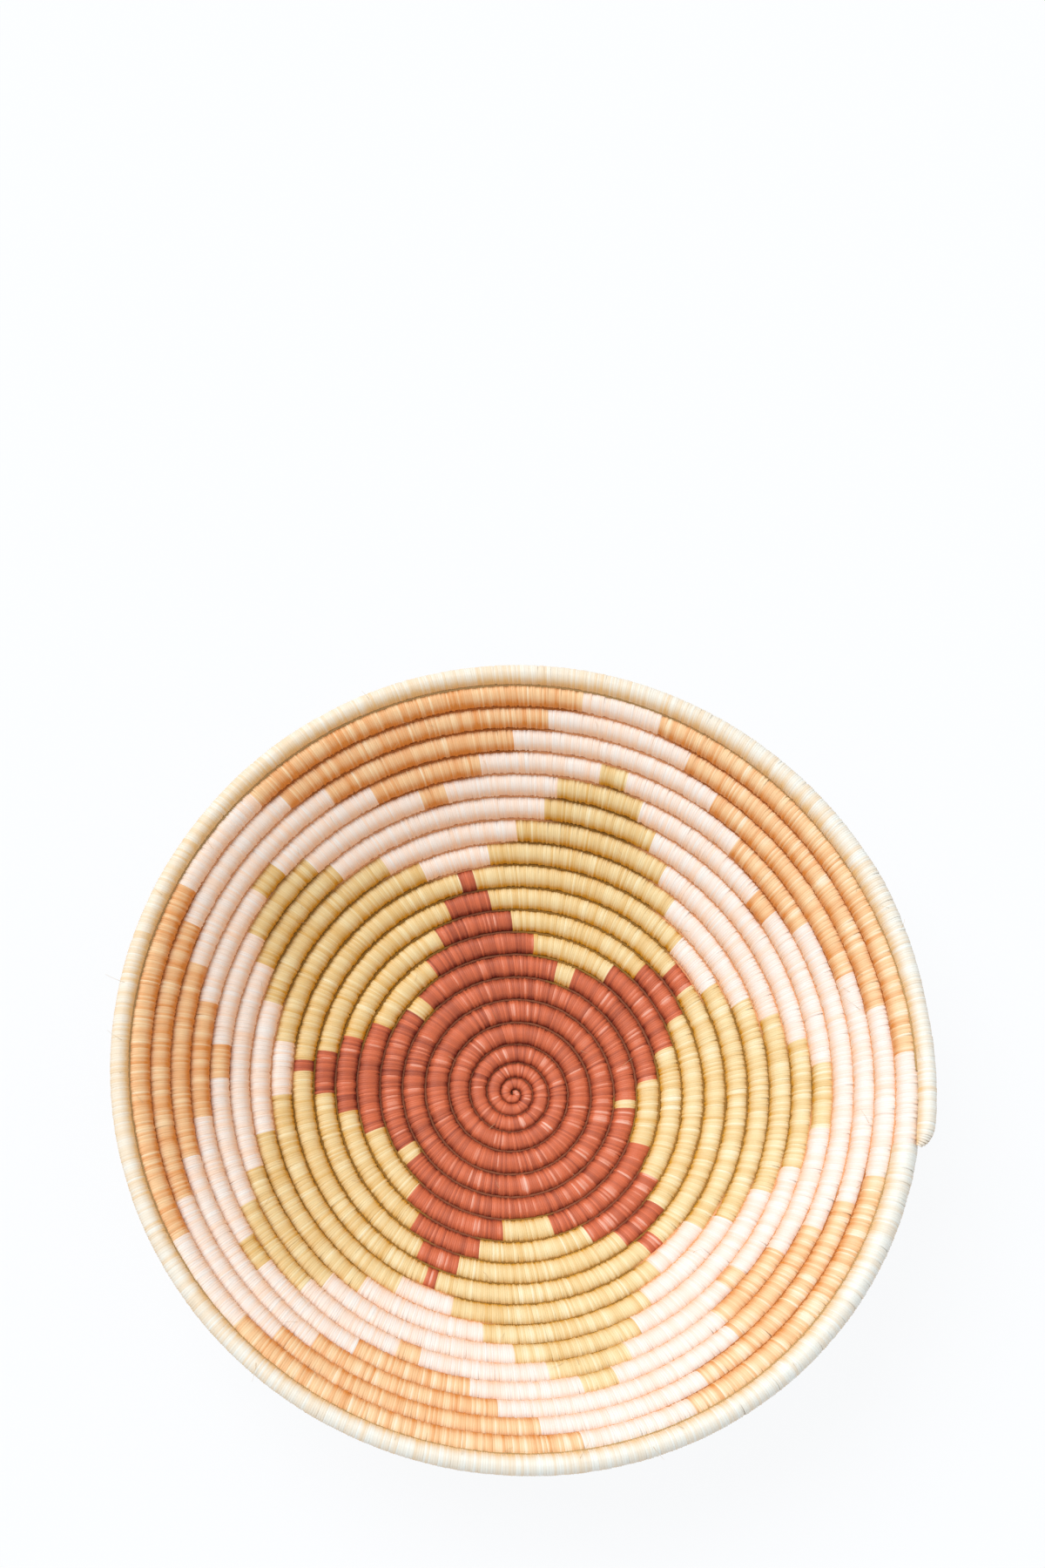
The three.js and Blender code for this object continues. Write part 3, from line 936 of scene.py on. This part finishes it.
class BASKET_OT_row_stitches(bpy.types.Operator):
    """Lay the strand ends that pass between neighbouring rows and close the groove, coloured with the
    groove's painted shade
    """

    bl_idname = "basket.row_stitches"
    bl_label = "Row Stitches"

    FIRST_TURN = -0.4
    TAIL_GAP = 1.03
    SIDES = 8
    # How much thicker the line is for each turn before turn 1, up to so many turns
    EYE_FILLING = 2.5
    EYE_TURNS = 1.4
    LEAST_GAP_SHARE = 0.8
    KNOT_HEIGHTS = (0.3 * MM, 1.3 * MM)

    def execute(self, context):
        scene = context.scene
        strand = scene.basket_strand
        path = CoilPath(scene)
        number = ROUND_POINTS * (scene.basket_coil.rounds - 1)
        turn = np.linspace(self.FIRST_TURN, path.turns - self.TAIL_GAP, number)
        nearer = path.coil_radius(turn)
        share = nearer / (nearer + path.coil_radius(turn + 1))
        between = path.middle(turn) + (path.middle(turn + 1) - path.middle(turn)) * column(share)
        body = np.minimum(path.body_radius(turn), path.body_radius(turn + 1))
        up_wall = path.profile(turn)[2] / scene.basket_coil.wall_slope
        height = body * (strand.stitch_lift - strand.wall_drop * up_wall) * np.clip(turn, 0, 1)
        normal = (path.inner_normal(turn) + path.inner_normal(turn + 1)) / 2
        lift = normal * column(height)
        filled = 1 + self.EYE_FILLING * np.clip(1 - turn, 0, self.EYE_TURNS)
        thickness = np.maximum(
            body * strand.stitch_radius * filled, self.LEAST_GAP_SHARE * scene.basket_coil.row_gap)
        # Painted shade: each dye's groove tone, darker still between loose rows, and the rust groove tone
        # for the knot
        depths = [LOOSE_DEPTH if dye in LOOSE_DYES else 1.0 for dye in DYES]
        tones = np.array([
            shares_of(getattr(scene, "basket_" + dye).groove, depth) for dye, depth in zip(DYES, depths)])
        tint = tones[dyes_along(path, scene.basket_star, turn + 1)]
        knot = np.array([[*scene.basket_hand.base_drift[:2], level] for level in self.KNOT_HEIGHTS])
        knot_tint = np.tile(tones[DYES.index("rust")], (len(knot), 1))
        # One line lies inside the bowl, one outside, and the knot follows them
        points = np.concatenate([between + lift, between - lift, knot])
        lines = chain(number) + chain(number, number) + chain(len(knot), 2 * number)
        attributes = {
            PLACE_RADIUS: np.concatenate([thickness, thickness, np.full(len(knot), strand.knot)]),
            STITCH_TINT: np.concatenate([tint, tint, knot_tint]),
        }
        obj = laid_out("row_stitches", points, lines, attributes)
        tube_tree("stitch_line", self.SIDES, stitch_finish("shaded_strand_ends")).make(obj)
        kept(obj, [])
        return {"FINISHED"}


class BASKET_OT_wind_strands(bpy.types.Operator):
    """Wind the strands of one wrapping round the coil"""

    bl_idname = "basket.wind_strands"
    bl_label = "Wind Strands"

    SEEDS_APART = 10

    wrap: EnumProperty(
        name="Wrapping", description="Which of the wrappings is wound", default="rust_wrap",
        items=[(name, name.replace("_", " ").title(), "Wind the " + name) for name in WRAPS])

    def finish(self, scene, path, dye):
        """The finish of the dye's strands, which its wrappings share."""
        name = dye + "_strands"
        if name in bpy.data.materials:
            return bpy.data.materials[name]
        painted_light_and_colours = scene.basket_wear
        towards = np.array([math.cos(painted_light_and_colours.painted_sidelight_azimuth), math.sin(painted_light_and_colours.painted_sidelight_azimuth), 0.0])
        rim_radius = float(path.profile(np.array([path.turns]))[0][0])
        painted_lit_start = painted_light_and_colours.rim_painted_lit_start if dye == RIM_DYE else painted_light_and_colours.painted_lit_start
        return sisal_finish(
            name, getattr(scene, "basket_" + dye), scene.basket_natural.pale, painted_lit_start,
            tuple(towards * painted_light_and_colours.painted_sidelight / rim_radius))

    def execute(self, context):
        scene = context.scene
        strand = scene.basket_strand
        path = CoilPath(scene)
        dye, first, last, nodes = WRAPS[self.wrap]
        turn = path.even_places(strand.spacing)
        numbers = path.round_number(turn)
        chosen = dyes_along(path, scene.basket_star, turn) == DYES.index(dye)
        chosen &= (numbers >= first) & (numbers <= last)
        if not chosen.any():
            raise RuntimeError(self.wrap + " has no strands")
        reach = (path.pitch(turn) + path.row_swelling(turn)) / 2 - path.body_radius(turn)
        thickness = (path.coil_radius(turn) + reach) * path.rounded_start(turn)
        attributes = {
            PLACE_TANGENT: path.tangent(turn)[chosen],
            PLACE_NORMAL: path.inner_normal(turn)[chosen],
            PLACE_RADIUS: thickness[chosen],
            STRAND_TILT: path.profile(turn)[2][chosen],
        }
        obj = laid_out(self.wrap, path.middle(turn)[chosen], [], attributes)
        inputs = {
            "Width": strand.width,
            "Ridge": strand.ridge,
            "Pressing": strand.base_pressing if dye in LOOSE_DYES else strand.pressing,
            "Stitch": strand.rim_stitch_strands if dye == RIM_DYE else strand.stitch_strands,
            "Stitch reach": strand.stitch_reach,
            "Slant": strand.slant,
            "Slant play": strand.slant_play,
            "Lift play": strand.lift_play,
            "Width play": strand.width_play,
            "Lumps": strand.lump_play * 2,
            "Lump scale": 1 / strand.lump_size,
            "Map columns": float(strand.map_columns),
            "Map rows": float(math.ceil(chosen.sum() / strand.map_columns)),
            "Steps": strand.steps,
            "Seed": strand.seed + self.SEEDS_APART * list(WRAPS).index(self.wrap),
            "Finish": self.finish(scene, path, dye),
        }
        strand_tree(inputs).make(obj)
        kept(obj, nodes)
        return {"FINISHED"}


class BASKET_OT_stray_fibres(bpy.types.Operator):
    """Lay the loose fibre ends that stand off the strands"""

    bl_idname = "basket.stray_fibres"
    bl_label = "Stray Fibres"

    POINTS = 7
    SIDES = 4
    ROUGHNESS = 0.7
    # Turns before the tail: where the rows end, and the rim's stretch of fibres
    ROWS_END = 1.1
    RIM_STRETCH = (0.9, 0.03)
    # Least squared share of the way outwards
    EYE_SHARE = 0.01
    LEAST_RISE = 0.3
    MOST_CURL = 0.25
    ROOT_DEPTH = 0.4 * MM
    # Share of a half wave that a fibre rises through, and of its thickness that it loses
    ARCH = 0.8
    TAPER = 0.6

    def execute(self, context):
        scene = context.scene
        fibres = scene.basket_fibres
        path = CoilPath(scene)
        draw = np.random.default_rng(fibres.seed)
        number = fibres.count + fibres.rim_count
        turn = np.sqrt(draw.uniform(self.EYE_SHARE, 1.0, number)) * (path.turns - self.ROWS_END)
        rim_from, rim_to = [path.turns - before for before in self.RIM_STRETCH]
        turn[fibres.count:] = draw.uniform(rim_from, rim_to, fibres.rim_count)
        middle = path.middle(turn)
        along = path.tangent(turn)
        upwards = path.inner_normal(turn)
        outwards = np.cross(along, upwards)
        side = draw.uniform(-1.0, 1.0, number)
        root = middle + column(path.coil_radius(turn)) * (
            column(np.cos(side)) * upwards + column(np.sin(side)) * outwards)
        normal = (root - middle) / np.linalg.norm(root - middle, axis=1, keepdims=True)
        across = np.cross(along, normal)
        heading = draw.uniform(-1.0, 1.0, number) + np.where(draw.random(number) < 0.5, 0, math.pi)
        towards = column(np.cos(heading)) * across + column(np.sin(heading)) * along
        length = draw.uniform(fibres.shortest, fibres.longest, number)
        rise = draw.uniform(self.LEAST_RISE, 1.0, number) * fibres.rise
        curl = draw.uniform(-self.MOST_CURL, self.MOST_CURL, number)
        sideways = np.cross(normal, towards)
        points, lines, thickness = [], [], []
        for share in np.linspace(0, 1, self.POINTS):
            sunk = self.ROOT_DEPTH if share == 0 else 0
            lift = rise * math.sin(share * math.pi * self.ARCH) - sunk
            bend = curl * length * share ** 2
            points.append(
                root + towards * column(length * share) + sideways * column(bend) + normal * column(lift))
            thickness.append(np.full(number, fibres.radius * (1 - self.TAPER * share)))
        points = np.stack(points, 1).reshape(-1, 3)
        thickness = np.stack(thickness, 1).ravel()
        for fibre in range(number):
            lines += chain(self.POINTS, self.POINTS * fibre)
        obj = laid_out("stray_fibres", points, lines, {PLACE_RADIUS: thickness})
        finish = stem_finish("pale_fibre", scene.basket_wear.fibre, self.ROUGHNESS)
        tube_tree("fibre_line", self.SIDES, finish).make(obj)
        kept(obj, [])
        return {"FINISHED"}


class BASKET_OT_stage(bpy.types.Operator):
    """Set the camera, the pale floor and the soft light"""

    bl_idname = "basket.stage"
    bl_label = "Stage"

    WHITE = (1.0, 1.0, 1.0, 1.0)

    def place(self, scene, name, data, turn):
        """A new object in the scene."""
        obj = bpy.data.objects.new(name, data)
        obj.rotation_euler = turn
        scene.collection.objects.link(obj)
        return obj

    def floor_finish(self, look):
        """A pale floor that takes the shadow, mixed with plain white where the camera sees it."""
        finish, bench = new_finish("pale_floor")
        matt = bench.put_named("ShaderNodeBsdfPrincipled", {
            "Base Color": (*look.floor_colour, 1.0), "Roughness": 1.0, "Specular IOR Level": 0.0})
        white = bench.put("ShaderNodeEmission", (*look.floor_white, 1.0))
        seen = bench.seen_rays() * look.floor_glow
        bench.put("ShaderNodeOutputMaterial", bench.put("ShaderNodeMixShader", seen, matt, white))
        return finish

    def execute(self, context):
        scene = context.scene
        look = scene.basket_stage
        lens = bpy.data.cameras.new("camera")
        lens.lens = look.lens
        scene.camera = self.place(scene, "camera", lens, look.camera_turn)
        scene.camera.location = look.camera_place

        half = look.floor_size / 2
        mesh = bpy.data.meshes.new("floor")
        mesh.from_pydata(
            [(-half, -half, 0), (half, -half, 0), (half, half, 0), (-half, half, 0)], [], [(0, 1, 2, 3)])
        mesh.materials.append(self.floor_finish(look))
        floor = self.place(scene, "floor", mesh, (0, 0, 0))

        sun = bpy.data.lights.new("window_light", "SUN")
        sun.energy = look.key
        sun.angle = look.key_spread
        quarter = math.pi / 2
        self.place(scene, "window_light", sun, (quarter - look.key_height, 0, look.key_azimuth + quarter))

        world = bpy.data.worlds.new("soft_sky")
        scene.world = world
        world.use_nodes = True
        world.node_tree.nodes.clear()
        bench = Bench(world.node_tree)
        sky = bench.put("ShaderNodeBackground", self.WHITE, look.sky)
        backdrop = bench.put("ShaderNodeBackground", self.WHITE)
        mixed = bench.put("ShaderNodeMixShader", bench.seen_rays(), sky, backdrop)
        bench.put("ShaderNodeOutputWorld", mixed)
        scene.view_settings.view_transform = "Standard"
        return {"FINISHED"}


class BASKET_PT_panel(bpy.types.Panel):
    """Sizes, colours and steps of the basket"""

    bl_idname = "BASKET_PT_panel"
    bl_label = "Coiled Basket"
    bl_space_type = "VIEW_3D"
    bl_region_type = "UI"
    bl_category = "Basket"

    def draw(self, context):
        layout = self.layout
        for step in ("grass_bundle", "row_stitches", "stray_fibres", "stage"):
            layout.operator("basket." + step)
        for wrap in WRAPS:
            layout.operator("basket.wind_strands", text=wrap.replace("_", " ").title()).wrap = wrap
        for title in GROUPS:
            group = getattr(context.scene, title)
            box = layout.box()
            box.label(text=title.replace("_", " ").title())
            for name in group.__annotations__:
                box.prop(group, name)


CLASSES = (
    *GROUPS.values(),
    BASKET_OT_grass_bundle,
    BASKET_OT_row_stitches,
    BASKET_OT_wind_strands,
    BASKET_OT_stray_fibres,
    BASKET_OT_stage,
    BASKET_PT_panel,
)


def register():
    for item in CLASSES:
        bpy.utils.register_class(item)
    for title, group in GROUPS.items():
        setattr(bpy.types.Scene, title, PointerProperty(type=group))


def unregister():
    for title in GROUPS:
        delattr(bpy.types.Scene, title)
    for item in reversed(CLASSES):
        bpy.utils.unregister_class(item)


def main():
    register()
    bpy.ops.basket.grass_bundle()
    bpy.ops.basket.row_stitches()
    for wrap in WRAPS:
        bpy.ops.basket.wind_strands(wrap=wrap)
    bpy.ops.basket.stray_fibres()
    bpy.ops.basket.stage()


if __name__ == "__main__":
    main()
